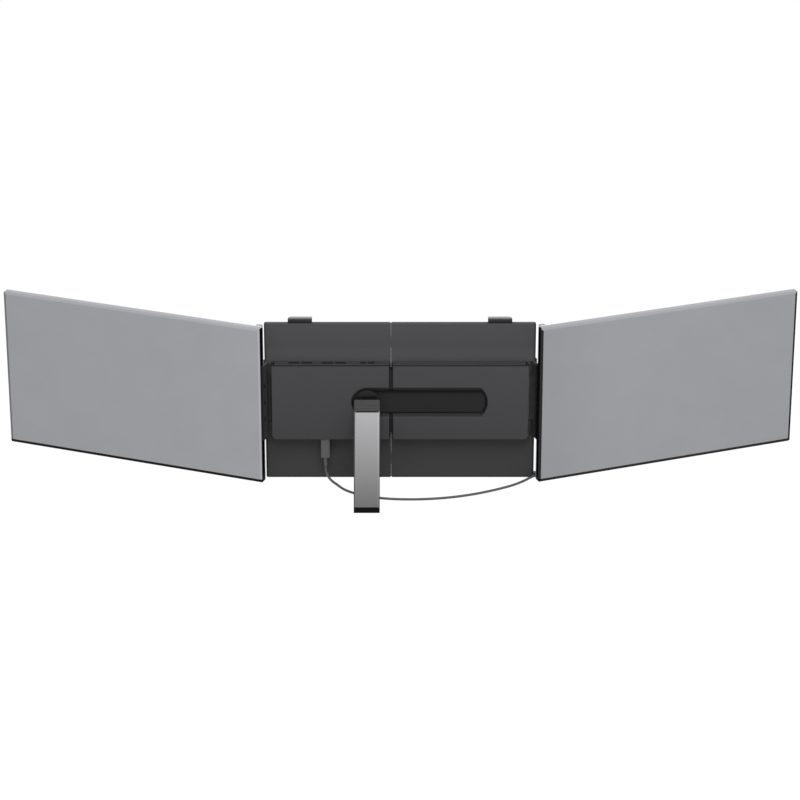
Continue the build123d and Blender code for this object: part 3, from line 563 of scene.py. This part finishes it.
# ---- meshes ----
def new_mesh(name, points, faces, material):
    """An object from points and faces, smooth, with its place in its mesh."""
    mesh = bpy.data.meshes.new(name)
    mesh.from_pydata(points.tolist(), [], faces)
    mesh.polygons.foreach_set("use_smooth", np.ones(len(faces), bool))
    mesh.materials.append(material)
    piece = bpy.data.objects.new(name, mesh)
    bpy.context.collection.objects.link(piece)
    return piece


def spline_points(route):
    """The points of the smooth NURBS line that the route's points control, evenly read."""
    curve = bpy.data.curves.new("lead_line", "CURVE")
    curve.dimensions = "3D"
    curve.resolution_u = 12
    spline = curve.splines.new("NURBS")
    spline.points.add(len(route) - 1)
    for point, place in zip(spline.points, route):
        point.co = (*place, 1.0)
    spline.order_u = 3
    spline.use_endpoint_u = True
    line = bpy.data.objects.new("lead_line", curve)
    mesh = bpy.data.meshes.new_from_object(line)
    points = np.array([v.co for v in mesh.vertices])
    bpy.data.objects.remove(line)
    bpy.data.meshes.remove(mesh)
    return points


def tube(name, path, radius, sides, material):
    """A round tube with flat ends. Point (i, j) is path[i] plus radius times (cos a_j side_i + sin a_j up_i),
    where side_i and up_i are square to the path, and a_j goes once round."""
    way = np.gradient(path, axis=0)
    way /= np.linalg.norm(way, axis=1)[:, None]
    side = np.cross(way, (0.31, 0.2, 0.93))
    side /= np.linalg.norm(side, axis=1)[:, None]
    up = np.cross(way, side)
    angle = np.linspace(0, 2 * np.pi, sides, endpoint=False)
    ring = np.cos(angle)[None, :, None] * side[:, None] + np.sin(angle)[None, :, None] * up[:, None]
    points = (path[:, None] + radius * ring).reshape(-1, 3)
    i, j = np.meshgrid(np.arange(len(path) - 1), np.arange(sides), indexing="ij")
    k = (j + 1) % sides
    faces = np.stack([i * sides + j, i * sides + k, (i + 1) * sides + k, (i + 1) * sides + j], -1)
    first = list(range(sides))
    ends = [first[::-1], [len(points) - sides + n for n in first]]
    return new_mesh(name, points, faces.reshape(-1, 4).tolist() + ends, material)


# ---- lead ----
def make_lead():
    """The lead: a round tube along its route, in place of the CAD lead cable."""
    path = spline_points(np.array(CORD_ROUTE) * MM)
    lead = tube("lead", path, CORD_D / 2, CORD_SIDES, grained("lead_line", LEAD_GREY, 0.55))
    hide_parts("lead_cable")
    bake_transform(lead)


# ---- studio ----
def seen_rays(tree):
    """1 for what the camera sees straight on, in gloss and through glass, and 0 for light that bounces."""
    rays = put(tree, "LightPath").outputs
    seen = math(tree, "MAXIMUM", rays["Is Camera Ray"], rays["Is Glossy Ray"])
    return math(tree, "MAXIMUM", seen, rays["Is Transmission Ray"])


def seen_or_lit(tree, lit, seen):
    """One shader for what is seen, and another for the light that bounces or falls on a piece."""
    return put(tree, "MixShader", {0: seen_rays(tree), 1: lit.outputs[0], 2: seen.outputs[0]}).outputs[0]


def make_floor():
    """A plain floor, white where it is seen, which keeps the extender's soft shadow."""
    half = FLOOR_SIZE / 2
    points = np.array([(-half, -half, -FLOOR_DROP), (half, -half, -FLOOR_DROP),
                       (half, half, -FLOOR_DROP), (-half, half, -FLOOR_DROP)])
    material, tree = new_tree("studio_floor")
    paper = put(tree, "BsdfDiffuse", {"Color": PAPER})
    faint = put(tree, "BsdfDiffuse", {"Color": FAINT_PAPER})
    glow = put(tree, "Emission", {"Color": WHITE, "Strength": GLOW})
    white = put(tree, "AddShader", {0: faint.outputs[0], 1: glow.outputs[0]})
    put(tree, "OutputMaterial", {"Surface": seen_or_lit(tree, paper, white)})
    new_mesh("floor", points, [(0, 1, 2, 3)], material)


def make_world():
    """A pale sky: white where it is seen, and a soft light elsewhere."""
    world = bpy.data.worlds.new("studio")
    bpy.context.scene.world = world
    world.use_nodes = True
    tree = world.node_tree
    tree.nodes.clear()
    light = put(tree, "Background", {"Color": WHITE, "Strength": SKY})
    white = put(tree, "Background", {"Color": WHITE, "Strength": 1.0})
    put(tree, "OutputWorld", {"Surface": seen_or_lit(tree, light, white)})


def make_softbox():
    """A square lamp high behind the extender."""
    lamp = bpy.data.lights.new("top_softbox", "AREA")
    lamp.size = SOFTBOX_SIZE
    lamp.energy = SOFTBOX_POWER
    softbox = bpy.data.objects.new("top_softbox", lamp)
    softbox.location = SOFTBOX_AT
    softbox.rotation_euler = aimed(SOFTBOX_AT, SOFTBOX_AIM)
    bpy.context.collection.objects.link(softbox)


def main():
    """The view, the finishes, the lead and the studio."""
    bpy.context.scene.view_settings.view_transform = "Standard"
    place_camera()
    dress()
    make_lead()
    make_floor()
    make_world()
    make_softbox()


main()
